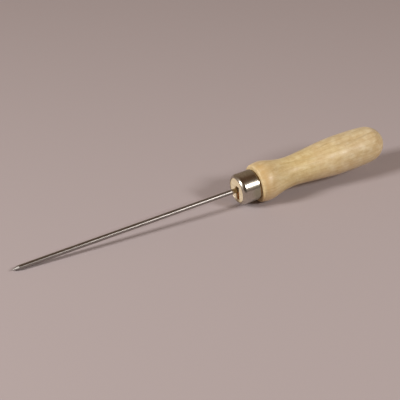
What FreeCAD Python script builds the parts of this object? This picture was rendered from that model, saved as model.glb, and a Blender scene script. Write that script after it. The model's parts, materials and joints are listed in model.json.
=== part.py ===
import FreeCAD, Part
import math
import os

# Scratch awl: a drawn steel wire blade, a pressed-on plated ferrule and one turned hardwood handle.
#
# The three pieces are drawn about the tool's own axis: u runs along the blade towards the butt,
# with u = 0 at the front of the ferrule, and r is the distance from that axis.
# The finished pieces are then laid down together as the tool lies on a table: the wire, where its
# ground point begins, and the shoulder behind the ferrule touch z = 0, and the bulb of the handle
# is clear of it. The axis lies in the XZ plane, with the point towards -X and the butt towards +X.
# The origin is the middle of the underside of the bounding box.

# ---------------------------------------------------------------- driving dimensions (mm)
# blade
BLADE_D = 2.7            # drawn wire
BLADE_OUT = 135.0        # from the ferrule's front to the point
POINT_LEN = 4.2          # ground cone
POINT_R = 0.12           # radius of the very tip
SHANK_END = -1.0         # the wire keeps its full diameter up to here
TANG_D = 2.6             # the tang is drawn down a little
TANG_U0 = 2.5            # where it reaches that diameter
TANG_LEN = 34.0          # from the ferrule's front to the tang's end
TANG_END_LEN = 3.0       # blunt pyramid on the tang
TANG_END_D = 1.2
WING_U0 = 9.0            # flattened wings, which keep the blade from turning
WING_U1 = 20.0
WING_H = 4.8             # across the wings
WING_T = 1.3             # through them

# ferrule
FERRULE_D = 17.6
FERRULE_WALL = 1.0
FERRULE_LEN = 10.75      # it stops a little short of the handle's shoulder
FERRULE_ROLL = 2.6       # outer radius of the rounded-in front
FERRULE_MOUTH_D = 14.0   # opening that the wood shows through
FERRULE_LIP_R = 0.2      # soft inner edge of that opening
FERRULE_REAR_R = 0.22    # broken outer edge at the back

# handle
FACE_U = 0.30            # end grain, just inside the ferrule's front
FACE_CHAMFER = 0.20
HOLE_D = 3.5             # pilot hole's mouth
HOLE_DEPTH = 3.2         # depth of that wider mouth
SLIT_T = WING_T          # slit that the wings cut on their way in
SLIT_H = WING_H
NOTCH_Y = (-2.45, 0.35)  # notch chopped in the end grain for the wings, a little to one side
NOTCH_N = (-5.6, 2.7)    # its lower and upper end
NOTCH_DEPTH = 3.0
SHOULDER_U = 11.85       # flat face of the shoulder
SHOULDER_EDGE = 0.8      # height of the rounded corner that faces the ferrule
# (u, radius) of the turned profile behind that corner
PROFILE = [
    (12.70, 10.83),
    (14.30, 11.07),
    (16.80, 11.28),
    (19.10, 11.07),
    (22.40, 10.27),
    (26.60, 9.22),
    (30.80, 8.63),
    (35.20, 8.49),
    (41.00, 8.93),
    (48.80, 9.68),
    (56.60, 10.44),
    (64.40, 10.84),
    (72.20, 10.83),
    (79.90, 10.54),
    (85.60, 9.93),
]
BUTT_U = 94.5            # crown of the butt
BUTT_REACH = 4.6         # how far the bulb's line runs on before the butt turns in
BUTT_FLAT = 4.4          # how far the crown's line runs out before it meets the bulb's

R_WIRE = BLADE_D / 2.0
R_TANG = TANG_D / 2.0
R_FER = FERRULE_D / 2.0
R_TENON = R_FER - FERRULE_WALL
R_MOUTH = FERRULE_MOUTH_D / 2.0


def pt(u, r):
    return FreeCAD.Vector(u, 0, r)


def turned(edges):
    """A solid of revolution about the u axis from a closed chain of edges in the (u, r) half-plane."""
    wire = Part.Wire(Part.__sortEdges__(edges))
    face = Part.Face(wire)
    solid = face.revolve(pt(0, 0), FreeCAD.Vector(1, 0, 0), 360)
    if solid.ShapeType != "Solid":
        solid = solid.Solids[0]
    if solid.Volume < 0:
        solid.reverse()
    return solid


def line(a, b):
    return Part.LineSegment(a, b).toShape()


def arc_centre(centre, radius, a0, a1):
    """Arc in the (u, r) plane from angle a0 to a1, in degrees from +u towards +r."""
    def at(a):
        a = math.radians(a)
        return pt(centre[0] + radius * math.cos(a), centre[1] + radius * math.sin(a))
    return Part.Arc(at(a0), at((a0 + a1) / 2.0), at(a1)).toShape()


# ---------------------------------------------------------------- blade
def make_blade():
    tip_u = -BLADE_OUT
    # half angle of the cone that leaves the tip's little sphere tangentially
    slope = math.atan2(R_WIRE - POINT_R, POINT_LEN)
    c_u = tip_u + POINT_R
    touch = pt(c_u - POINT_R * math.sin(slope), POINT_R * math.cos(slope))
    mid_a = math.radians(180) - (math.radians(90) - slope) / 2.0
    arc_mid = pt(c_u + POINT_R * math.cos(mid_a), POINT_R * math.sin(mid_a))
    cone_u = touch.x + (R_WIRE - touch.z) / math.tan(slope)
    tang_u = TANG_LEN - TANG_END_LEN
    edges = [
        Part.Arc(pt(tip_u, 0), arc_mid, touch).toShape(),
        line(touch, pt(cone_u, R_WIRE)),
        line(pt(cone_u, R_WIRE), pt(SHANK_END, R_WIRE)),
        line(pt(SHANK_END, R_WIRE), pt(TANG_U0, R_TANG)),
        line(pt(TANG_U0, R_TANG), pt(tang_u, R_TANG)),
        line(pt(tang_u, R_TANG), pt(TANG_LEN, TANG_END_D / 2.0)),
        line(pt(TANG_LEN, TANG_END_D / 2.0), pt(TANG_LEN, 0)),
        line(pt(TANG_LEN, 0), pt(tip_u, 0)),
    ]
    wire = turned(edges)
    wings = wing_plate(WING_U0, WING_U1, WING_H, WING_T, lead=2.2)
    return wire.fuse(wings).removeSplitter().Solids[0], cone_u


def wing_plate(u0, u1, height, thick, lead):
    """A flat plate along the axis, upright, whose front and back corners are cut back."""
    h = height / 2.0
    s = R_TANG * 0.6
    pts = [(u0, -s), (u0, s), (u0 + lead, h), (u1 - lead, h), (u1, s), (u1, -s), (u1 - lead, -h), (u0 + lead, -h)]
    vs = [FreeCAD.Vector(u, -thick / 2.0, z) for u, z in pts]
    face = Part.Face(Part.makePolygon(vs + [vs[0]]))
    return face.extrude(FreeCAD.Vector(0, thick, 0))


# ---------------------------------------------------------------- ferrule
def roll_geometry():
    """Centre of the rounded front, where its inside meets the mouth, and the angles at which the lip and the mouth leave it."""
    cr = R_FER - FERRULE_ROLL
    lip = FERRULE_LIP_R
    ri = FERRULE_ROLL - FERRULE_WALL
    rise = R_MOUTH + lip - cr
    cu = lip + math.sqrt((FERRULE_ROLL - lip) ** 2 - rise ** 2)
    lip_turn = 180 - math.degrees(math.asin(rise / (FERRULE_ROLL - lip)))
    mouth_turn = 180 - math.degrees(math.asin((R_MOUTH - cr) / ri))
    mouth_u = cu + ri * math.cos(math.radians(mouth_turn))
    return cu, cr, mouth_u, lip_turn, mouth_turn


def make_ferrule():
    ro, ri = FERRULE_ROLL, FERRULE_ROLL - FERRULE_WALL
    cu, cr, mouth_u, lip_turn, mouth_turn = roll_geometry()
    lip = FERRULE_LIP_R
    rear = FERRULE_REAR_R
    # outside: from the rear, along the barrel, round the front, down to the mouth; then back along the inside
    edges = [
        line(pt(FERRULE_LEN - rear, R_FER), pt(cu, R_FER)),
        arc_centre((cu, cr), ro, 90, lip_turn),
        arc_centre((lip, R_MOUTH + lip), lip, lip_turn, 270),
        line(pt(lip, R_MOUTH), pt(mouth_u, R_MOUTH)),
        arc_centre((cu, cr), ri, mouth_turn, 90),
        line(pt(cu, R_TENON), pt(FERRULE_LEN, R_TENON)),
        line(pt(FERRULE_LEN, R_TENON), pt(FERRULE_LEN, R_FER - rear)),
        arc_centre((FERRULE_LEN - rear, R_FER - rear), rear, 0, 90),
    ]
    return turned(edges)


# ---------------------------------------------------------------- handle
def make_handle(blade):
    ri = FERRULE_ROLL - FERRULE_WALL
    cu, cr, mouth_u, lip_turn, mouth_turn = roll_geometry()
    first_u, first_r = PROFILE[0]
    face_r = first_r - SHOULDER_EDGE
    # the turned profile, and the crowned butt that leaves it without a corner
    body = Part.BSplineCurve()
    body.interpolate(Points=[pt(u, r) for u, r in PROFILE])
    t0 = body.tangent(body.FirstParameter)[0]
    t1 = body.tangent(body.LastParameter)[0]
    end = pt(*PROFILE[-1])
    butt = Part.BezierCurve()
    butt.setPoles([end, end + t1 * BUTT_REACH, pt(BUTT_U, BUTT_FLAT), pt(BUTT_U, 0)])
    # rounded corner between the shoulder's flat face and the turned profile
    corner = Part.BSplineCurve()
    corner.interpolate(
        Points=[pt(SHOULDER_U, face_r), pt(first_u, first_r)],
        InitialTangent=FreeCAD.Vector(0, 0, 1.25),
        FinalTangent=t0.multiply(1.25),
    )
    nose = FACE_CHAMFER
    edges = [
        line(pt(FACE_U, 0), pt(FACE_U, R_MOUTH - nose)),
        line(pt(FACE_U, R_MOUTH - nose), pt(FACE_U + nose, R_MOUTH)),
        line(pt(FACE_U + nose, R_MOUTH), pt(mouth_u, R_MOUTH)),
        arc_centre((cu, cr), ri, mouth_turn, 90),
        line(pt(cu, R_TENON), pt(SHOULDER_U, R_TENON)),
        line(pt(SHOULDER_U, R_TENON), pt(SHOULDER_U, face_r)),
        corner.toShape(),
        body.toShape(),
        butt.toShape(),
        line(pt(BUTT_U, 0), pt(FACE_U, 0)),
    ]
    wood = turned(edges)
    # slit left by the wings, the notch chopped for them, the wider mouth of the pilot hole, and the tang's own seat
    slit = Part.makeBox(
        WING_U0 + 3.0 + 1.0, SLIT_T, SLIT_H,
        FreeCAD.Vector(-1.0, -SLIT_T / 2.0, -SLIT_H / 2.0))
    mouth = Part.makeCylinder(HOLE_D / 2.0, HOLE_DEPTH + 1.0, pt(-1.0, 0), FreeCAD.Vector(1, 0, 0))
    notch = Part.makeBox(
        NOTCH_DEPTH + 1.0, NOTCH_Y[1] - NOTCH_Y[0], NOTCH_N[1] - NOTCH_N[0],
        FreeCAD.Vector(-1.0, NOTCH_Y[0], NOTCH_N[0]))
    wood = wood.cut(slit).cut(notch).cut(mouth).cut(blade)
    return wood.Solids[0], body


blade, cone_u = make_blade()
ferrule = make_ferrule()
handle, turned_curve = make_handle(blade)
parts = {"blade": blade, "ferrule": ferrule, "handle": handle}

# ---------------------------------------------------------------- lay the tool down
# The tilt that brings the point and the shoulder to the same height.


def drop(u, r, tilt):
    return u * math.sin(tilt) - r * math.cos(tilt)


n = 4000
first, last = turned_curve.FirstParameter, turned_curve.LastParameter
profile_curve = [turned_curve.value(first + (last - first) * i / n) for i in range(n + 1)]


def laid(shape, tilt):
    s = shape.copy()
    s.rotate(FreeCAD.Vector(0, 0, 0), FreeCAD.Vector(0, 1, 0), -math.degrees(tilt))
    return s


lo, hi = math.radians(2.0), math.radians(7.0)
for _ in range(60):
    mid = (lo + hi) / 2.0
    z_point = drop(cone_u, R_WIRE, mid)
    z_shoulder = min(drop(p.x, p.z, mid) for p in profile_curve)
    if z_point > z_shoulder:
        lo = mid
    else:
        hi = mid
TILT = (lo + hi) / 2.0

laid_parts = {name: laid(s, TILT) for name, s in parts.items()}
whole = Part.makeCompound(list(laid_parts.values()))
box = whole.optimalBoundingBox(False, False) if hasattr(whole, "optimalBoundingBox") else whole.BoundBox
shift = FreeCAD.Vector(-(box.XMin + box.XMax) / 2.0, 0, -box.ZMin)

os.makedirs("parts", exist_ok=True)
for name, s in laid_parts.items():
    s.translate(shift)
    s.exportStep(os.path.join("parts", name + ".step"))

# ---------------------------------------------------------------- summary
print("tilt %.4f deg" % math.degrees(TILT))
print("shift %.4f %.4f %.4f" % (shift.x, shift.y, shift.z))
ax = FreeCAD.Vector(math.cos(TILT), 0, math.sin(TILT))
rest = min(profile_curve, key=lambda p: drop(p.x, p.z, TILT))
print("the shoulder rests at u = %.2f, r = %.3f" % (rest.x, rest.z))


def on_axis(u):
    return ax * u + shift


for label, u in (("point", -BLADE_OUT), ("cone base", cone_u), ("ferrule front", 0), ("ferrule rear", FERRULE_LEN), ("butt", BUTT_U)):
    p = on_axis(u)
    print("%-14s u=%8.3f  x=%8.3f z=%7.3f" % (label, u, p.x, p.z))
for name, s in laid_parts.items():
    b = s.optimalBoundingBox(False, False)
    print("%-8s valid %s solids %d volume %.1f box x %.2f..%.2f y %.2f..%.2f z %.3f..%.3f" % (
        name, s.isValid(), len(s.Solids), s.Volume, b.XMin, b.XMax, b.YMin, b.YMax, b.ZMin, b.ZMax))
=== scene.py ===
import json
import math

import bmesh
import bpy
import numpy as np
from mathutils import Matrix, Vector


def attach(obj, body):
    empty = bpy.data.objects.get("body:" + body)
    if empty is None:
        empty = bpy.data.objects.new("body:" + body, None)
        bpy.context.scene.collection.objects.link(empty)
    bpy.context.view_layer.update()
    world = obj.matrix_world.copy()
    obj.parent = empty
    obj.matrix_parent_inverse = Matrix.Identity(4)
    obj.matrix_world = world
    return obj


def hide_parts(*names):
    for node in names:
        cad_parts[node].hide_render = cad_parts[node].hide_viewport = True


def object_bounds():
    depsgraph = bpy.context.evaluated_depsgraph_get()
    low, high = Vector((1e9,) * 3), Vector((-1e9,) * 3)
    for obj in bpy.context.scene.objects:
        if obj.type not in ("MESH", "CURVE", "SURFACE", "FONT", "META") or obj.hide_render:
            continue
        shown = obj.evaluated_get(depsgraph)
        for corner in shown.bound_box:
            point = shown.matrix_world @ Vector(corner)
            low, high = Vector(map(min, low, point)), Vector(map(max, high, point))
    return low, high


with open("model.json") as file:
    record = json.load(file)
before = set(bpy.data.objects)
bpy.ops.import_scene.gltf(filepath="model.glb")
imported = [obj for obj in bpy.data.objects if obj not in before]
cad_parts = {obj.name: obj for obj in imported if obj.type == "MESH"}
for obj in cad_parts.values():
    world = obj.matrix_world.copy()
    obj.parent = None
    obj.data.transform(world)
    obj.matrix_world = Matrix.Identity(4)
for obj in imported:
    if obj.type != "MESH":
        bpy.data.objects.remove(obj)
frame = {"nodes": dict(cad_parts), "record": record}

cad_lo, cad_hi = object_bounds()
MM = 0.001

# ------------------------------------------------------------------ the tool's own axis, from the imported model
# u runs along the blade towards the butt, in mm, with u = 0 at the ferrule's front
record = frame["record"]
mounts = {m["name"]: m for m in record["mounts"]}
A = -Vector(mounts["blade_shank"]["axis"]).normalized()
Y = Vector((0.0, 1.0, 0.0))
N = A.cross(Y).normalized()                   # across the axis, upwards
TILT = math.atan2(A.z, A.x)
on_line = Vector(mounts["blade_shank"]["pos_m"])
tip_s = min(v.co.dot(A) for v in frame["nodes"]["blade"].data.vertices)
BLADE_OUT = 135.0
O = on_line + A * (tip_s + BLADE_OUT * MM - on_line.dot(A))
TOOL = Matrix((
    (A.x, Y.x, N.x, O.x),
    (A.y, Y.y, N.y, O.y),
    (A.z, Y.z, N.z, O.z),
    (0.0, 0.0, 0.0, 1.0),
))

# the same sizes as the CAD pieces, in mm
R_WIRE, R_TANG, SHANK_END, TANG_U0 = 1.35, 1.30, -1.0, 2.5
POINT_R, POINT_LEN = 0.12, 4.2
R_FER, WALL, FER_LEN, ROLL, R_MOUTH, LIP, REAR = 8.8, 1.0, 10.75, 2.6, 7.0, 0.2, 0.22
ROLL_R = R_FER - ROLL
ROLL_U = LIP + math.sqrt((ROLL - LIP) ** 2 - (R_MOUTH + LIP - ROLL_R) ** 2)
LIP_TURN = 180 - math.degrees(math.asin((R_MOUTH + LIP - ROLL_R) / (ROLL - LIP)))
MOUTH_TURN = 180 - math.degrees(math.asin((R_MOUTH - ROLL_R) / (ROLL - WALL)))
MOUTH_U = ROLL_U + (ROLL - WALL) * math.cos(math.radians(MOUTH_TURN))
TANG_END, TANG_POINT, TANG_TIP_R = 34.0, 3.0, 0.6
WING_U0, WING_U1, WING_H, WING_T = 9.0, 20.0, 4.8, 1.3
FACE_U, CHAMFER, HOLE_R, HOLE_DEPTH = 0.30, 0.20, 1.75, 3.2
SLIT_T, SLIT_H, SLIT_END = WING_T, WING_H, WING_U1 + 0.1
NOTCH_Y, NOTCH_N, NOTCH_DEPTH = (-2.45, 0.35), (-5.6, 2.7), 3.0
SHOULDER_U = 11.85
EDGE = 0.8
PROFILE = np.array([
    (12.70, 10.83), (14.30, 11.07), (16.80, 11.28), (19.10, 11.07), (22.40, 10.27), (26.60, 9.22),
    (30.80, 8.63), (35.20, 8.49), (41.00, 8.93), (48.80, 9.68), (56.60, 10.44), (64.40, 10.84),
    (72.20, 10.83), (79.90, 10.54), (85.60, 9.93)])
BUTT_U, BUTT_REACH, BUTT_FLAT = 94.5, 4.6, 4.4


def cubic(t, y):
    """Second derivatives of the cubic spline through y(t), its third derivative even over the first two and the last two spans."""
    n = len(t)
    h = np.diff(t)
    a = np.zeros((n, n))
    b = np.zeros(n)
    for i in range(1, n - 1):
        a[i, i - 1:i + 2] = h[i - 1], 2 * (h[i - 1] + h[i]), h[i]
        b[i] = 6 * ((y[i + 1] - y[i]) / h[i] - (y[i] - y[i - 1]) / h[i - 1])
    a[0, :3] = -h[1], h[0] + h[1], -h[0]
    a[-1, -3:] = -h[-1], h[-2] + h[-1], -h[-2]
    return np.linalg.solve(a, b)


def spline(t, y, at):
    m = cubic(t, y)
    i = np.clip(np.searchsorted(t, at) - 1, 0, len(t) - 2)
    h = t[i + 1] - t[i]
    p, q = (t[i + 1] - at) / h, (at - t[i]) / h
    return p * y[i] + q * y[i + 1] + ((p ** 3 - p) * m[i] + (q ** 3 - q) * m[i + 1]) * h * h / 6


def turned_profile(count):
    t = np.concatenate([[0], np.cumsum(np.hypot(*np.diff(PROFILE, axis=0).T))])
    at = np.linspace(0, t[-1], count)
    return np.stack([spline(t, PROFILE[:, 0], at), spline(t, PROFILE[:, 1], at)], 1)


def bezier(p0, p1, p2, p3, count):
    w = np.linspace(0, 1, count)[:, None]
    return (1 - w) ** 3 * p0 + 3 * (1 - w) ** 2 * w * p1 + 3 * (1 - w) * w * w * p2 + w ** 3 * p3


def arc(cu, cr, radius, a0, a1, count):
    a = np.radians(np.linspace(a0, a1, count))
    return np.stack([cu + radius * np.cos(a), cr + radius * np.sin(a)], 1)


def line(p, q, count):
    w = np.linspace(0, 1, count)[:, None]
    return np.array(p) * (1 - w) + np.array(q) * w


def chain(*parts):
    """Joins stretches of profile end to end, without repeating the points where they meet."""
    out = [parts[0]]
    for p in parts[1:]:
        out.append(p[1:] if np.hypot(*(p[0] - out[-1][-1])) < 1e-6 else p)
    return np.concatenate(out)


def turned_mesh(name, prof, segments, closed=False):
    """A mesh turned about u from (u, r) points in mm. A point with r = 0 closes that end."""
    verts, faces, rings = [], [], []
    ang = np.linspace(0, 2 * math.pi, segments, endpoint=False)
    for u, r in prof:
        if r < 1e-9:
            rings.append([len(verts)])
            verts.append((u * MM, 0.0, 0.0))
        else:
            rings.append(list(range(len(verts), len(verts) + segments)))
            verts += [(u * MM, r * math.cos(a) * MM, r * math.sin(a) * MM) for a in ang]
    pairs = list(zip(rings[:-1], rings[1:]))
    if closed:
        pairs.append((rings[-1], rings[0]))
    for a, b in pairs:
        for j in range(segments):
            k = (j + 1) % segments
            if len(a) == 1 and len(b) == 1:
                continue
            if len(a) == 1:
                faces.append((a[0], b[k], b[j]))
            elif len(b) == 1:
                faces.append((a[j], a[k], b[0]))
            else:
                faces.append((a[j], a[k], b[k], b[j]))
    me = bpy.data.meshes.new(name)
    me.from_pydata(verts, [], faces)
    bm = bmesh.new()
    bm.from_mesh(me)
    bmesh.ops.recalc_face_normals(bm, faces=bm.faces)
    bm.to_mesh(me)
    bm.free()
    me.update()
    return me


def tool_object(name, me, node, material):
    """Lays a mesh drawn about the tool's axis into the CAD frame and hands it over for its node."""
    me.transform(TOOL)
    ob = bpy.data.objects.new(name, me)
    bpy.context.scene.collection.objects.link(ob)
    me.materials.append(material)
    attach(ob, "root")
    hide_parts(node)
    return ob


# ------------------------------------------------------------------ node helpers
def new_material(name):
    m = bpy.data.materials.new(name)
    m.use_nodes = True
    nt = m.node_tree
    nt.nodes.clear()
    out = nt.nodes.new("ShaderNodeOutputMaterial")
    bsdf = nt.nodes.new("ShaderNodeBsdfPrincipled")
    nt.links.new(bsdf.outputs["BSDF"], out.inputs["Surface"])
    return m, nt, bsdf


class Nodes:
    """Short calls for the nodes that the materials below share."""

    def __init__(self, nt):
        self.nt = nt

    def put(self, socket, value):
        if hasattr(value, "is_linked") or isinstance(value, bpy.types.NodeSocket):
            self.nt.links.new(value, socket)
        else:
            socket.default_value = value

    def coords(self, along=1.0, across=1.0, offset=(0, 0, 0), rotate=(0, 0, 0)):
        """Millimetres about the tool's own axis: x along it towards the butt, z across it and up. Then scaled, more or less along than across."""
        if not hasattr(self, "axis"):
            tc = self.nt.nodes.new("ShaderNodeTexCoord")
            mp = self.nt.nodes.new("ShaderNodeMapping")
            mp.inputs["Scale"].default_value = (1000, 1000, 1000)
            mp.inputs["Rotation"].default_value = (0, TILT, 0)
            mp.inputs["Location"].default_value = (-1000 * A.dot(O), -1000 * Y.dot(O), -1000 * N.dot(O))
            self.nt.links.new(tc.outputs["Object"], mp.inputs["Vector"])
            self.axis = mp.outputs["Vector"]
        if (along, across) == (1.0, 1.0) and tuple(offset) == (0, 0, 0) and tuple(rotate) == (0, 0, 0):
            return self.axis
        mp = self.nt.nodes.new("ShaderNodeMapping")
        mp.inputs["Scale"].default_value = (along, across, across)
        mp.inputs["Location"].default_value = offset
        mp.inputs["Rotation"].default_value = rotate
        self.nt.links.new(self.axis, mp.inputs["Vector"])
        return mp.outputs["Vector"]

    def split(self, vec):
        n = self.nt.nodes.new("ShaderNodeSeparateXYZ")
        self.nt.links.new(vec, n.inputs[0])
        return n.outputs

    def noise(self, vec, scale=1.0, detail=2.0, rough=0.5, distort=0.0):
        n = self.nt.nodes.new("ShaderNodeTexNoise")
        self.nt.links.new(vec, n.inputs["Vector"])
        n.inputs["Scale"].default_value = scale
        n.inputs["Detail"].default_value = detail
        n.inputs["Roughness"].default_value = rough
        n.inputs["Distortion"].default_value = distort
        return n.outputs["Fac"]

    def noise_colour(self, vec, scale=1.0, detail=2.0, rough=0.5):
        n = self.nt.nodes.new("ShaderNodeTexNoise")
        self.nt.links.new(vec, n.inputs["Vector"])
        n.inputs["Scale"].default_value = scale
        n.inputs["Detail"].default_value = detail
        n.inputs["Roughness"].default_value = rough
        return n.outputs["Color"]

    def cells(self, vec, scale=1.0, feature="F1", random=1.0):
        n = self.nt.nodes.new("ShaderNodeTexVoronoi")
        n.feature = feature
        self.nt.links.new(vec, n.inputs["Vector"])
        n.inputs["Scale"].default_value = scale
        n.inputs["Randomness"].default_value = random
        return n.outputs["Distance"]

    def math(self, op, a, b=0.0, c=0.0, clamp=False):
        n = self.nt.nodes.new("ShaderNodeMath")
        n.operation = op
        n.use_clamp = clamp
        self.put(n.inputs[0], a)
        self.put(n.inputs[1], b)
        if len(n.inputs) > 2:
            self.put(n.inputs[2], c)
        return n.outputs[0]

    def ramp(self, fac, stops, interp="LINEAR"):
        n = self.nt.nodes.new("ShaderNodeValToRGB")
        n.color_ramp.interpolation = interp
        els = n.color_ramp.elements
        while len(els) < len(stops):
            els.new(0.5)
        for e, (pos, col) in zip(els, stops):
            e.position = pos
            e.color = (col, col, col, 1.0) if isinstance(col, (int, float)) else (*col, 1.0)
        self.put(n.inputs["Fac"], fac)
        return n.outputs["Color"]

    def remap(self, v, a, b, c, d, clamp=True):
        n = self.nt.nodes.new("ShaderNodeMapRange")
        n.clamp = clamp
        self.put(n.inputs["Value"], v)
        n.inputs["From Min"].default_value = a
        n.inputs["From Max"].default_value = b
        n.inputs["To Min"].default_value = c
        n.inputs["To Max"].default_value = d
        return n.outputs["Result"]

    def mix(self, fac, a, b, blend="MIX"):
        n = self.nt.nodes.new("ShaderNodeMix")
        n.data_type = "RGBA"
        n.blend_type = blend
        self.put(n.inputs["Factor"], fac)
        for sock, v in ((n.inputs[6], a), (n.inputs[7], b)):
            if isinstance(v, tuple):
                sock.default_value = (*v, 1.0)
            else:
                self.nt.links.new(v, sock)
        return n.outputs[2]

    def bump(self, height, strength, distance, normal=None):
        n = self.nt.nodes.new("ShaderNodeBump")
        self.put(n.inputs["Height"], height)
        n.inputs["Strength"].default_value = strength
        n.inputs["Distance"].default_value = distance
        if normal is not None:
            self.nt.links.new(normal, n.inputs["Normal"])
        return n.outputs["Normal"]

    def combine(self, x, y, z):
        n = self.nt.nodes.new("ShaderNodeCombineXYZ")
        self.put(n.inputs[0], x)
        self.put(n.inputs[1], y)
        self.put(n.inputs[2], z)
        return n.outputs[0]


def srgb(r, g, b):
    def f(c):
        c /= 255.0
        return c / 12.92 if c <= 0.04045 else ((c + 0.055) / 1.055) ** 2.4
    return (f(r), f(g), f(b))


# ------------------------------------------------------------------ materials
# mineral streaks in the wood: from u to u, from angle to angle about the axis, width in degrees, strength
MARKS = [
    (52.0, 58.5, 8.0, 7.0, 4.0, 0.75), (59.0, 68.0, 7.5, 8.5, 3.0, 0.35), (49.0, 66.0, 26.0, 24.0, 5.0, 0.22), (62.0, 75.0, 19.0, 30.0, 6.0, 0.3),
    (67.0, 88.0, 36.0, 20.0, 5.0, 0.48), (18.5, 32.0, 32.0, 35.0, 8.0, 0.34), (74.0, 81.0, 74.0, 77.0, 5.0, 0.35),
    (20.0, 44.0, -35.0, -42.0, 4.0, 0.4), (40.0, 66.0, 150.0, 146.0, 4.0, 0.5), (60.0, 82.0, -95.0, -90.0, 4.0, 0.5),
    (24.0, 50.0, -140.0, -146.0, 4.0, 0.4), (56.0, 80.0, -168.0, -160.0, 4.0, 0.45), (16.0, 34.0, 118.0, 112.0, 4.0, 0.35)]


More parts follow.
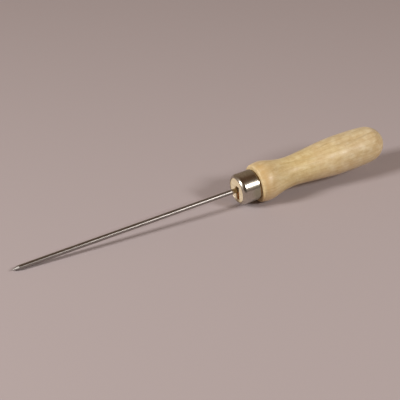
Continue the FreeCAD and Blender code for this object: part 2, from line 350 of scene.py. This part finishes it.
def wood_material():
    """Pale close-grained hardwood, turned and sanded, under a thin satin lacquer."""
    m, nt, bsdf = new_material("handle_wood")
    k = Nodes(nt)
    u, y, n = k.split(k.coords())
    # growth layers: wide arcs about a pith far below the handle, drifting a little along it
    drift = k.noise(k.coords(0.016, 0.05, (3.0, 1.0, 7.0)), 1.0, 2.0, 0.5)
    drift = k.math("MULTIPLY_ADD", drift, 7.0, -3.5)
    yy = k.math("ADD", y, 9.0)
    nn = k.math("ADD", k.math("ADD", n, 52.0), drift)
    dist = k.math("SQRT", k.math("ADD", k.math("MULTIPLY", yy, yy), k.math("MULTIPLY", nn, nn)))
    dist = k.math("ADD", dist, k.math("MULTIPLY", u, 0.018))
    layer = k.math("FRACT", k.math("MULTIPLY", dist, 0.46))
    late = k.ramp(layer, [(0.0, 0.0), (0.45, 0.06), (0.80, 0.45), (0.93, 1.0), (0.97, 0.75), (1.0, 0.0)])
    uneven = k.noise(k.coords(0.03, 0.16, (1.0, 5.0, 2.0)), 1.0, 3.0, 0.55)
    late = k.math("MULTIPLY", late, k.remap(uneven, 0.34, 0.66, 0.12, 1.0))
    # fibres, from broad streaks down to single vessels
    broad = k.noise(k.coords(0.020, 0.62, (0.0, 3.0, 1.0)), 1.0, 3.0, 0.55)
    streak = k.noise(k.coords(0.045, 1.9), 1.0, 3.0, 0.6)
    fibre = k.noise(k.coords(0.11, 6.0, (2.0, 0.0, 4.0)), 1.0, 3.0, 0.6)
    vessel = k.cells(k.coords(0.34, 4.6, (5.0, 1.0, 0.0)))
    vessel = k.remap(vessel, 0.05, 0.20, 1.0, 0.0)
    sparse = k.noise(k.coords(0.12, 0.55, (9.0, 2.0, 6.0)), 1.0, 2.0, 0.5)
    vessel = k.math("MULTIPLY", vessel, k.remap(sparse, 0.46, 0.62, 0.0, 1.0))
    cloud = k.noise(k.coords(0.07, 0.16, (6.0, 8.0, 3.0)), 1.0, 3.0, 0.55)
    tone = k.math("ADD", k.math("MULTIPLY", broad, 0.5), k.math("ADD", k.math("MULTIPLY", streak, 0.32), k.math("MULTIPLY", fibre, 0.18)))
    base = k.ramp(tone, [(0.28, srgb(214, 187, 134)), (0.42, srgb(226, 201, 149)), (0.54, srgb(233, 210, 160)), (0.72, srgb(239, 220, 176))])
    base = k.mix(k.remap(cloud, 0.38, 0.66, 0.0, 0.42), base, srgb(220, 191, 145))
    mottle = k.noise(k.coords(0.20, 0.36, (2.0, 7.0, 5.0)), 1.0, 3.0, 0.6)
    base = k.mix(k.remap(mottle, 0.51, 0.66, 0.0, 0.68), base, srgb(243, 225, 184))
    base = k.mix(k.remap(mottle, 0.48, 0.33, 0.0, 0.55), base, srgb(209, 176, 121))
    # short ripples across the fibres
    ripple = k.noise(k.coords(0.42, 0.20, (1.0, 9.0, 4.0), (0.0, 0.35, 0.15)), 1.0, 2.0, 0.55)
    base = k.mix(k.remap(ripple, 0.50, 0.64, 0.0, 0.34), base, srgb(214, 182, 132))
    base = k.mix(k.math("MULTIPLY", late, 0.36), base, srgb(176, 150, 98))
    base = k.mix(k.math("MULTIPLY", vessel, 0.34), base, srgb(150, 117, 74))
    # a few faint mineral streaks along the grain
    around = k.math("MULTIPLY", k.math("ARCTAN2", k.math("MULTIPLY", y, -1.0), n), 57.29578)
    wander = k.noise(k.coords(0.09, 0.0, (5.0, 5.0, 5.0)), 1.0, 2.0, 0.5)
    marks = None
    for u0, u1, a0, a1, width, amount in MARKS:
        lie = k.math("ADD", k.remap(u, u0, u1, a0 - 5.0, a1 - 5.0, clamp=False), k.math("MULTIPLY", wander, 10.0))
        mark = k.remap(k.math("ABSOLUTE", k.math("SUBTRACT", around, lie)), 0.0, width, amount, 0.0)
        mark = k.math("MULTIPLY", mark, k.math("MULTIPLY", k.remap(u, u0 - 2.5, u0 + 2.5, 0.0, 1.0), k.remap(u, u1 - 2.5, u1 + 2.5, 1.0, 0.0)))
        marks = mark if marks is None else k.math("MAXIMUM", marks, mark)
    base = k.mix(k.math("MULTIPLY", marks, k.remap(fibre, 0.3, 0.6, 1.0, 0.4)), base, srgb(162, 128, 76))
    # browner wood along the underside, where the handle faces the floor: painted shade, drawn as a darker streak in the
    # wood
    underside_shade = k.math("ADD", around, k.math("MULTIPLY", k.math("SUBTRACT", broad, 0.5), 30.0))
    underside_shade_core = k.ramp(k.remap(underside_shade, 120.0, 172.0, 0.0, 1.0), [(0.0, 0.0), (0.12, 0.0), (0.36, 1.0), (0.60, 0.8), (1.0, 0.0)])
    underside_shade_core = k.math("MULTIPLY", underside_shade_core, k.ramp(k.remap(u, 18.0, 78.0, 0.0, 1.0), [(0.0, 0.0), (0.15, 1.0), (0.55, 1.0), (0.75, 0.5), (1.0, 0.0)]))
    underside_shade = k.ramp(k.remap(underside_shade, 90.0, 200.0, 0.0, 1.0), [(0.0, 0.0), (0.27, 0.45), (0.42, 0.9), (0.65, 0.9), (0.82, 0.3), (1.0, 0.0)])
    base = k.mix(k.math("MULTIPLY", underside_shade, 0.66), base, srgb(158, 122, 76))
    base = k.mix(k.math("MULTIPLY", underside_shade_core, 0.6), base, srgb(112, 78, 44))
    # where the turning cuts across the fibres the lacquer soaks in and warms the wood
    front = k.ramp(k.remap(u, 11.0, 29.0, 0.0, 1.0), [(0.0, 0.0), (0.09, 0.25), (0.18, 0.8), (0.34, 0.4), (0.6, 0.12), (1.0, 0.0)])
    back = k.ramp(k.remap(u, 80.0, 95.0, 0.0, 1.0), [(0.0, 0.0), (0.30, 0.15), (0.50, 0.45), (0.66, 0.15), (1.0, 0.05)])
    side = k.ramp(k.remap(around, -60.0, 120.0, 0.0, 1.0), [(0.0, 0.5), (0.30, 0.7), (0.40, 1.0), (0.60, 1.0), (0.75, 0.7), (1.0, 0.5)])
    front = k.math("MULTIPLY", k.math("MULTIPLY", front, side), 1.5)
    soak = k.math("MULTIPLY", k.math("ADD", front, back), k.remap(cloud, 0.32, 0.68, 1.15, 0.35, clamp=False))
    base = k.mix(k.math("MULTIPLY", soak, 0.5, clamp=True), base, srgb(213, 166, 98))
    # a little warmer at the waist, where it is gripped, and paler towards the butt
    base = k.mix(k.ramp(k.remap(u, 17.0, 50.0, 0.0, 1.0), [(0.0, 0.0), (0.2, 0.7), (0.5, 1.0), (0.85, 0.9), (1.0, 0.0)]), base, (0.955, 0.95, 0.865), "MULTIPLY")
    base = k.mix(k.ramp(k.remap(u, 60.0, 95.0, 0.0, 1.0), [(0.0, 0.0), (0.25, 0.8), (0.5, 0.6), (0.8, 1.0), (1.0, 1.0)]), base, (0.98, 1.0, 1.08), "MULTIPLY")
    # bare end grain inside the ferrule's mouth: pores instead of streaks, and darker towards the hole
    pores = k.cells(k.coords(0.4, 5.2, (1.0, 2.0, 3.0)))
    pores = k.remap(pores, 0.10, 0.30, 1.0, 0.0)
    ends = k.remap(u, 0.6, 0.4, 0.0, 1.0)
    reach = k.math("SQRT", k.math("ADD", k.math("MULTIPLY", y, y), k.math("MULTIPLY", n, n)))
    near_hole_dark = k.remap(reach, 1.5, 3.0, 0.5, 0.0)
    # painted shade in the recesses: warmer inside the hole, slit, notch and the gap behind the ferrule, and dark brown
    # deeper in and towards the top
    recess_shade_depth = k.remap(u, 0.34, 1.1, 0.0, 0.9)
    recess_shade = k.math("MULTIPLY", recess_shade_depth, k.remap(u, 11.84, 11.6, 0.0, 1.0))
    bare = k.mix(k.remap(cloud, 0.35, 0.65, 0.0, 1.0), srgb(230, 214, 185), srgb(213, 195, 159))
    bare = k.mix(k.math("MULTIPLY", pores, 0.32), bare, srgb(160, 128, 84))
    bare = k.mix(k.math("MULTIPLY", late, 0.4), bare, srgb(186, 156, 108))
    bare = k.mix(near_hole_dark, bare, srgb(150, 118, 74))
    base = k.mix(ends, base, bare)
    base = k.mix(recess_shade, base, srgb(216, 170, 104))
    base = k.mix(k.math("MULTIPLY", k.math("MULTIPLY", recess_shade, k.remap(u, 3.2, 8.0, 0.0, 1.0)), k.remap(n, 0.4, 3.2, 0.05, 0.9)), base, srgb(112, 76, 40))
    nt.links.new(base, bsdf.inputs["Base Color"])
    rough = k.math("ADD", k.remap(fibre, 0.3, 0.7, 0.56, 0.48), k.math("MULTIPLY", vessel, 0.10))
    worn = k.ramp(k.remap(u, 12.0, 92.0, 0.0, 1.0), [(0.0, 0.2), (0.10, 0.3), (0.20, 0.35), (0.27, 0.0), (0.42, 0.0), (0.46, 0.5), (0.52, 0.5), (0.56, 0.25), (0.65, 0.25), (0.70, 0.7), (0.80, 0.55), (0.86, 0.85), (1.0, 1.0)])
    rough = k.math("ADD", rough, k.math("ADD", k.math("MULTIPLY", ends, 0.30), k.math("MULTIPLY", worn, 0.15)), clamp=True)
    nt.links.new(rough, bsdf.inputs["Roughness"])
    bsdf.inputs["IOR"].default_value = 1.5
    bsdf.inputs["Specular Tint"].default_value = (1.0, 0.94, 0.82, 1.0)
    shine = k.noise(k.coords(0.14, 0.16, (7.0, 1.0, 9.0)), 1.0, 3.0, 0.6)
    band = k.remap(k.math("ADD", u, k.math("MULTIPLY", k.math("SUBTRACT", shine, 0.5), 4.0)), 12.0, 92.0, 0.0, 1.0)
    band = k.ramp(band, [(0.0, 0.3), (0.03, 0.5), (0.055, 1.0), (0.085, 0.5), (0.12, 0.42), (0.175, 0.22), (0.235, 0.20), (0.28, 0.52), (0.33, 0.38), (0.38, 0.34), (0.425, 0.64), (0.465, 0.25), (0.515, 0.25), (0.555, 0.85), (0.60, 0.34), (0.65, 0.80), (0.70, 0.22), (0.74, 0.20), (0.785, 0.55), (0.83, 0.25), (0.88, 0.08), (1.0, 0.2)])
    coat = k.math("MULTIPLY", band, k.remap(shine, 0.35, 0.65, 0.75, 1.15), clamp=True)
    coat = k.math("MULTIPLY", coat, k.math("SUBTRACT", 1.0, ends))
    nt.links.new(coat, bsdf.inputs["Coat Weight"])
    bsdf.inputs["Coat Roughness"].default_value = 0.36
    bsdf.inputs["Sheen Weight"].default_value = 0.2
    bsdf.inputs["Sheen Roughness"].default_value = 0.45
    bsdf.inputs["Sheen Tint"].default_value = (1.0, 0.96, 0.90, 1.0)
    # sanded surface: open fibres, faint rings left by the lathe, and a slightly wavy hand
    lathe = k.noise(k.coords(2.6, 0.05, (0.0, 4.0, 4.0)), 1.0, 2.0, 0.5)
    wavy = k.noise(k.coords(0.10, 0.22, (4.0, 4.0, 1.0)), 1.0, 1.0, 0.5)
    height = k.math("MULTIPLY", fibre, 0.010)
    height = k.math("SUBTRACT", height, k.math("MULTIPLY", vessel, 0.010))
    height = k.math("SUBTRACT", height, k.math("MULTIPLY", late, 0.003))
    height = k.math("ADD", height, k.math("MULTIPLY", lathe, 0.0035))
    height = k.math("ADD", height, k.math("MULTIPLY", wavy, 0.16))
    height = k.math("SUBTRACT", height, k.math("MULTIPLY", k.math("MULTIPLY", pores, ends), 0.03))
    nt.links.new(k.bump(height, 1.0, 0.001), bsdf.inputs["Normal"])
    return m


def nickel_material():
    """Nickel plate on drawn steel: bright and slightly warm, hazed by handling, with hair scratches and a rubbed rim."""
    m, nt, bsdf = new_material("ferrule_plate")
    k = Nodes(nt)
    u, y, n = k.split(k.coords())
    haze = k.noise(k.coords(0.28, 0.28), 1.0, 4.0, 0.6)
    polish = k.noise(k.coords(7.0, 0.12, (2.0, 0.0, 0.0)), 1.0, 3.0, 0.6)
    hair = k.noise(k.coords(1.1, 9.0, (1.0, 6.0, 2.0), (0.5, 0.3, 0.9)), 1.0, 2.0, 0.5)
    hair = k.remap(hair, 0.62, 0.70, 0.0, 1.0)
    spots = k.cells(k.coords(1.3, 1.3, (3.0, 1.0, 8.0)))
    spots = k.math("MULTIPLY", k.remap(spots, 0.05, 0.16, 1.0, 0.0), k.remap(haze, 0.50, 0.60, 0.0, 1.0))
    col = k.mix(k.remap(haze, 0.32, 0.72, 0.0, 1.0), (0.62, 0.575, 0.51), (0.50, 0.455, 0.39))
    rim = k.remap(u, 1.5, 0.2, 0.0, 0.45)
    # painted shade: the plate darkens over its last half millimetre at the rear, next to the gap before the wood's
    # shoulder
    rear_edge_shade = k.remap(u, 10.3, 10.75, 0.0, 0.6)
    col = k.mix(k.math("MULTIPLY", rim, k.remap(polish, 0.35, 0.65, 0.5, 1.0)), col, (0.60, 0.53, 0.41))
    col = k.mix(rear_edge_shade, col, (0.30, 0.25, 0.19))
    col = k.mix(k.math("MULTIPLY", spots, 0.55), col, (0.26, 0.21, 0.15))
    # painted shade: the rear half darkens and yellows, most on the underside, standing in for the shade under the
    # handle reflected in the plate
    rear_underside_shade = k.remap(k.math("ADD", u, k.math("MULTIPLY", k.math("SUBTRACT", haze, 0.5), 7.0)), 4.8, 8.2, 0.0, 0.7)
    rear_underside_shade = k.math("MULTIPLY", rear_underside_shade, k.remap(n, 5.5, 1.0, 0.35, 1.0))
    col = k.mix(rear_underside_shade, col, (0.40, 0.405, 0.285))
    nt.links.new(col, bsdf.inputs["Base Color"])
    bsdf.inputs["Metallic"].default_value = 1.0
    rough = k.math("ADD", k.remap(haze, 0.32, 0.72, 0.19, 0.26), k.math("MULTIPLY", hair, 0.10))
    rough = k.math("ADD", rough, k.math("ADD", k.math("MULTIPLY", spots, 0.22), k.math("MULTIPLY", rim, 0.12)))
    nt.links.new(rough, bsdf.inputs["Roughness"])
    height = k.math("ADD", k.math("MULTIPLY", polish, 0.0018), k.math("MULTIPLY", haze, 0.006))
    height = k.math("SUBTRACT", height, k.math("MULTIPLY", hair, 0.0012))
    height = k.math("SUBTRACT", height, k.math("MULTIPLY", spots, 0.004))
    nt.links.new(k.bump(height, 1.0, 0.001), bsdf.inputs["Normal"])
    return m


def steel_material():
    """Drawn steel wire: lengthwise draw marks and a faint grey film, with fine rings where the point is ground."""
    m, nt, bsdf = new_material("blade_steel")
    k = Nodes(nt)
    u, y, n = k.split(k.coords())
    draw = k.noise(k.coords(0.05, 9.0), 1.0, 3.0, 0.6)
    film = k.noise(k.coords(0.10, 0.45, (4.0, 1.0, 0.0)), 1.0, 4.0, 0.6)
    rings = k.noise(k.coords(14.0, 0.4), 1.0, 2.0, 0.5)
    specks = k.cells(k.coords(1.0, 2.2, (2.0, 2.0, 5.0)))
    specks = k.math("MULTIPLY", k.remap(specks, 0.06, 0.18, 1.0, 0.0), k.remap(film, 0.52, 0.62, 0.0, 1.0))
    ground = k.remap(u, -130.95, -130.6, 1.0, 0.0)
    col = k.mix(k.remap(film, 0.34, 0.70, 0.0, 1.0), (0.415, 0.39, 0.37), (0.30, 0.275, 0.26))
    col = k.mix(k.math("MULTIPLY", k.remap(draw, 0.35, 0.7, 0.0, 1.0), 0.25), col, (0.24, 0.22, 0.205))
    col = k.mix(k.math("MULTIPLY", specks, 0.6), col, (0.20, 0.16, 0.13))
    # the ground point is dark all round, with a painted highlight on its side towards the front and up, where that side
    # is also rougher
    around = k.math("MULTIPLY", k.math("ARCTAN2", k.math("MULTIPLY", y, -1.0), n), 57.29578)
    point_highlight_side = k.ramp(k.remap(around, -40.0, 140.0, 0.0, 1.0), [(0.0, 0.12), (0.28, 0.25), (0.40, 1.0), (0.57, 1.0), (0.66, 0.0), (1.0, 0.0)])
    col = k.mix(ground, col, (0.26, 0.245, 0.235))
    col = k.mix(k.math("MULTIPLY", ground, point_highlight_side), col, (0.90, 0.88, 0.86))
    # golden brown where the wire enters the wood: a painted reflection of the end grain, and rougher there
    root = k.remap(k.math("ADD", u, k.math("MULTIPLY", k.math("SUBTRACT", film, 0.5), 1.6)), -3.1, -2.1, 0.0, 0.85)
    col = k.mix(root, col, (0.40, 0.30, 0.14))
    nt.links.new(col, bsdf.inputs["Base Color"])
    bsdf.inputs["Metallic"].default_value = 1.0
    rough = k.math("ADD", k.remap(film, 0.32, 0.72, 0.27, 0.35), k.math("MULTIPLY", specks, 0.2))
    rough = k.math("ADD", k.math("MULTIPLY", rough, k.math("SUBTRACT", 1.0, ground)), k.math("MULTIPLY", ground, k.remap(point_highlight_side, 0.0, 1.0, 0.40, 0.58)))
    rough = k.math("ADD", rough, k.remap(u, -70.0, -22.0, 0.0, 0.05))
    rough = k.math("ADD", rough, k.math("MULTIPLY", root, 0.18))
    nt.links.new(rough, bsdf.inputs["Roughness"])
    height = k.math("MULTIPLY", k.math("MULTIPLY", draw, k.math("SUBTRACT", 1.0, ground)), 0.004)
    height = k.math("ADD", height, k.math("MULTIPLY", k.math("MULTIPLY", rings, ground), 0.016))
    height = k.math("SUBTRACT", height, k.math("MULTIPLY", specks, 0.003))
    nt.links.new(k.bump(height, 1.0, 0.001), bsdf.inputs["Normal"])
    return m


# ------------------------------------------------------------------ handle
def cut_slot(ob, u0, u1, y0, y1, n0, n1, rag):
    """Cuts a straight slot with slightly ragged sides, from u0 to u1, y0 to y1 and n0 to n1, in mm about the tool's axis."""
    bm = bmesh.new()
    bmesh.ops.create_grid(bm, x_segments=60, y_segments=24, size=0.5)
    for v in bm.verts:
        v.co = Vector((u0 + (v.co.x + 0.5) * (u1 - u0), 0.0, n0 + (v.co.y + 0.5) * (n1 - n0)))
    back = bmesh.ops.duplicate(bm, geom=bm.faces[:])
    moved = {v for v in back["geom"] if isinstance(v, bmesh.types.BMVert)}
    for v in bm.verts:
        side = 1.0 if v in moved else -1.0
        w = 0.045 * math.sin(3.1 * v.co.z + 2.0 * side) + 0.03 * math.sin(7.9 * v.co.z - 1.3 * side) + 0.02 * math.sin(17.0 * v.co.z + 0.7 * v.co.x)
        fade = max(0.0, 1.0 - max(0.0, v.co.x) / 6.0)
        v.co.y = (y1 if v in moved else y0) + side * rag * w * fade
    rims = [e for e in bm.edges if e.is_boundary]
    bmesh.ops.bridge_loops(bm, edges=rims)
    bmesh.ops.recalc_face_normals(bm, faces=bm.faces)
    for v in bm.verts:
        v.co *= MM
    cut = bpy.data.meshes.new("slot")
    bm.to_mesh(cut)
    bm.free()
    c = bpy.data.objects.new("slot", cut)
    bpy.context.scene.collection.objects.link(c)
    c.matrix_world = TOOL
    boolean(ob, c, "DIFFERENCE")


def boolean(ob, other, operation):
    mod = ob.modifiers.new("boolean", "BOOLEAN")
    mod.operation = operation
    mod.solver = "EXACT"
    mod.object = other
    bpy.context.view_layer.update()
    done = bpy.data.meshes.new_from_object(ob.evaluated_get(bpy.context.evaluated_depsgraph_get()))
    ob.modifiers.clear()
    old, name = ob.data, ob.data.name
    ob.data = done
    bpy.data.meshes.remove(old)
    done.name = name
    gone = other.data
    bpy.data.objects.remove(other)
    bpy.data.meshes.remove(gone)


def finish_shading(ob, sharp):
    ob.data.shade_smooth()
    ob.data.set_sharp_from_angle(angle=math.radians(sharp))


def build_handle():
    body = turned_profile(260)
    slope = body[-1] - body[-2]
    slope = slope / np.hypot(*slope)
    end = PROFILE[-1]
    cap = bezier(end, end + slope * BUTT_REACH, np.array([BUTT_U, BUTT_FLAT]), np.array([BUTT_U, 0.0]), 56)
    first = PROFILE[0]
    t0 = body[1] - body[0]
    t0 = t0 / np.hypot(*t0)
    face_r = first[1] - EDGE
    c0 = np.array([SHOULDER_U, face_r])
    corner = bezier(c0, c0 + np.array([0, 0.42]), first - t0 * 0.42, first, 14)
    tenon_r = R_FER - WALL
    seat = R_TANG + 0.02
    prof = chain(
        line((TANG_END + 0.05, 0.0), (TANG_END + 0.05, TANG_TIP_R + 0.02), 2),
        line((TANG_END + 0.05, TANG_TIP_R + 0.02), (TANG_END - TANG_POINT, seat), 3),
        line((TANG_END - TANG_POINT, seat), (HOLE_DEPTH, seat), 24),
        line((HOLE_DEPTH, seat), (HOLE_DEPTH, HOLE_R), 2),
        line((HOLE_DEPTH, HOLE_R), (FACE_U, HOLE_R), 10),
        line((FACE_U, HOLE_R), (FACE_U, R_MOUTH - CHAMFER), 20),
        line((FACE_U, R_MOUTH - CHAMFER), (FACE_U + CHAMFER, R_MOUTH), 3),
        line((FACE_U + CHAMFER, R_MOUTH), (MOUTH_U, R_MOUTH), 2),
        arc(ROLL_U, ROLL_R, ROLL - WALL, MOUTH_TURN, 90, 6),
        line((ROLL_U, tenon_r), (SHOULDER_U, tenon_r), 8),
        line((SHOULDER_U, tenon_r), (SHOULDER_U, face_r), 6),
        corner, body, cap)
    me = turned_mesh("handle_wood", prof, 224)
    ob = tool_object("handle_wood", me, "handle", wood_material())
    # the slit that the tang's wings tore on their way in, and the notch chopped for them in the end grain
    cut_slot(ob, -1.0, SLIT_END, -SLIT_T / 2, SLIT_T / 2, -SLIT_H / 2, SLIT_H / 2, 1.0)
    cut_slot(ob, -1.0, NOTCH_DEPTH, *NOTCH_Y, *NOTCH_N, 1.6)
    finish_shading(ob, 35.0)
    return ob


# ------------------------------------------------------------------ ferrule
def build_ferrule():
    prof = chain(
        line((FER_LEN - REAR, R_FER), (ROLL_U, R_FER), 24),
        arc(ROLL_U, ROLL_R, ROLL, 90, LIP_TURN, 30),
        arc(LIP, R_MOUTH + LIP, LIP, LIP_TURN, 270, 8),
        line((LIP, R_MOUTH), (MOUTH_U, R_MOUTH), 3),
        arc(ROLL_U, ROLL_R, ROLL - WALL, MOUTH_TURN, 90, 10),
        line((ROLL_U, R_FER - WALL), (FER_LEN, R_FER - WALL), 6),
        line((FER_LEN, R_FER - WALL), (FER_LEN, R_FER - REAR), 3),
        arc(FER_LEN - REAR, R_FER - REAR, REAR, 0, 90, 8))
    me = turned_mesh("ferrule_cup", prof[:-1], 256, closed=True)
    ob = tool_object("ferrule_cup", me, "ferrule", nickel_material())
    finish_shading(ob, 35.0)
    return ob


# ------------------------------------------------------------------ blade
def build_blade():
    tip_u = -BLADE_OUT
    slope = math.atan2(R_WIRE - POINT_R, POINT_LEN)
    c_u = tip_u + POINT_R
    touch_u, touch_r = c_u - POINT_R * math.sin(slope), POINT_R * math.cos(slope)
    cone_u = touch_u + (R_WIRE - touch_r) / math.tan(slope)
    prof = chain(
        arc(c_u, 0.0, POINT_R, 180, 90 + math.degrees(slope), 8),
        line((touch_u, touch_r), (cone_u, R_WIRE), 26),
        line((cone_u, R_WIRE), (SHANK_END, R_WIRE), 120),
        line((SHANK_END, R_WIRE), (TANG_U0, R_TANG), 4),
        line((TANG_U0, R_TANG), (TANG_END - TANG_POINT, R_TANG), 30),
        line((TANG_END - TANG_POINT, R_TANG), (TANG_END, TANG_TIP_R), 4),
        line((TANG_END, TANG_TIP_R), (TANG_END, 0.0), 2))
    prof[0, 1] = 0.0
    prof[-1, 1] = 0.0
    me = turned_mesh("blade_wire", prof, 72)
    ob = tool_object("blade_wire", me, "blade", steel_material())
    # flattened wings on the tang
    h, s = WING_H / 2, R_TANG * 0.6
    rim = [(WING_U0, -s), (WING_U0, s), (WING_U0 + 2.2, h), (WING_U1 - 2.2, h), (WING_U1, s), (WING_U1, -s), (WING_U1 - 2.2, -h), (WING_U0 + 2.2, -h)]
    pts = [TOOL @ Vector((u * MM, side * WING_T / 2 * MM, w * MM)) for side in (-1, 1) for u, w in rim]
    wm = bpy.data.meshes.new("wings")
    wm.from_pydata(pts, [], [tuple(range(8)), tuple(range(15, 7, -1))] + [(j, j + 8, (j + 1) % 8 + 8, (j + 1) % 8) for j in range(8)])
    bm = bmesh.new()
    bm.from_mesh(wm)
    bmesh.ops.recalc_face_normals(bm, faces=bm.faces)
    bm.to_mesh(wm)
    bm.free()
    wings = bpy.data.objects.new("wings", wm)
    bpy.context.scene.collection.objects.link(wings)
    boolean(ob, wings, "UNION")
    finish_shading(ob, 12.0)
    return ob


handle = build_handle()
ferrule = build_ferrule()
blade = build_blade()

# ------------------------------------------------------------------ floor
bm = bmesh.new()
bmesh.ops.create_grid(bm, x_segments=1, y_segments=1, size=3.0)
bmesh.ops.translate(bm, verts=bm.verts, vec=(0, 0, cad_lo.z - 0.00003))
floor_me = bpy.data.meshes.new("floor")
bm.to_mesh(floor_me)
bm.free()
floor = bpy.data.objects.new("floor", floor_me)
bpy.context.scene.collection.objects.link(floor)
fm, fnt, fb = new_material("floor")
fb.inputs["Base Color"].default_value = (*srgb(190, 178, 179), 1.0)
fb.inputs["Roughness"].default_value = 0.9
fb.inputs["Specular IOR Level"].default_value = 0.15
floor_me.materials.append(fm)

# ------------------------------------------------------------------ camera, at the photograph's viewing angle
F_PX = 1800.0
AZ, EL, DIST = math.radians(-28.715), math.radians(31.869), 0.98212
aim = Vector((-0.00042, 0.00379, 0.008))
cam = bpy.data.cameras.new("camera")
cam.sensor_width = 36.0
cam.lens = F_PX / 400.0 * 36.0
cam.clip_start, cam.clip_end = 0.01, 20.0
cam_ob = bpy.data.objects.new("camera", cam)
bpy.context.scene.collection.objects.link(cam_ob)
look = Vector((-math.sin(AZ) * math.cos(EL), math.cos(AZ) * math.cos(EL), -math.sin(EL)))
cam_ob.location = aim - look * DIST
cam_ob.rotation_euler = look.to_track_quat("-Z", "Y").to_euler()
bpy.context.scene.camera = cam_ob


# ------------------------------------------------------------------ light
def area(name, direction, distance, size, radiance, colour):
    """A soft box of an even radiance, seen from the ferrule in the given direction."""
    d = Vector(direction).normalized()
    li = bpy.data.lights.new(name, "AREA")
    li.shape = "RECTANGLE"
    li.size, li.size_y = size
    # a grid keeps its light off the floor below it, and the energy allows for what the grid gathers in the middle
    half = math.radians(60.0)
    li.spread = 2.0 * half
    li.energy = radiance * math.pi * size[0] * size[1] * (math.tan(half) - half) / math.tan(half)
    li.color = colour
    ob = bpy.data.objects.new(name, li)
    bpy.context.scene.collection.objects.link(ob)
    ob.location = Vector((0.025, 0.0, 0.01)) + d * distance
    ob.rotation_euler = (-d).to_track_quat("-Z", "Y").to_euler()
    return ob


# a small, lower lamp beyond the point, and a wide soft box in front of the butt
area("lamp", (-0.855, 0.03, 0.515), 1.35, (0.3335, 0.3335), 41.0, (1.0, 0.985, 0.96))
area("soft_box", (0.44, -0.70, 0.564), 1.2, (0.25, 0.25), 34.4, (1.0, 0.99, 0.97))

world = bpy.data.worlds.new("world")
bpy.context.scene.world = world
world.use_nodes = True
wnt = world.node_tree
wnt.nodes.clear()
wo = wnt.nodes.new("ShaderNodeOutputWorld")
wb = wnt.nodes.new("ShaderNodeBackground")
wk = Nodes(wnt)
tc = wnt.nodes.new("ShaderNodeTexCoord")
sx, sy, sz = wk.split(tc.outputs["Generated"])
sky = wk.ramp(sz, [(0.0, srgb(154, 136, 122)), (0.27, srgb(151, 133, 117)), (0.52, srgb(148, 128, 110)), (0.70, srgb(139, 117, 97)), (0.81, srgb(133, 109, 87)), (0.93, srgb(109, 82, 61)), (1.0, srgb(99, 73, 51))])
# the room is darker to the front, behind the table's near edge
front = wk.math("ADD", wk.math("MULTIPLY", sx, -0.28), wk.math("ADD", wk.math("MULTIPLY", sy, -0.92), wk.math("MULTIPLY", sz, 0.27)))
sky = wk.mix(wk.remap(front, 0.74, 0.95, 0.0, 0.85), sky, srgb(24, 17, 12))
# and a little lighter towards the wall behind
rear = wk.math("ADD", wk.math("MULTIPLY", sx, 0.35), wk.math("ADD", wk.math("MULTIPLY", sy, 0.81), wk.math("MULTIPLY", sz, 0.47)))
sky = wk.mix(wk.remap(rear, 0.72, 0.96, 0.0, 0.6), sky, srgb(176, 156, 136))
wnt.links.new(sky, wb.inputs["Color"])
wb.inputs["Strength"].default_value = 0.76
wnt.links.new(wb.outputs["Background"], wo.inputs["Surface"])

bpy.context.scene.view_settings.view_transform = "Standard"
bpy.context.scene.view_settings.look = "None"
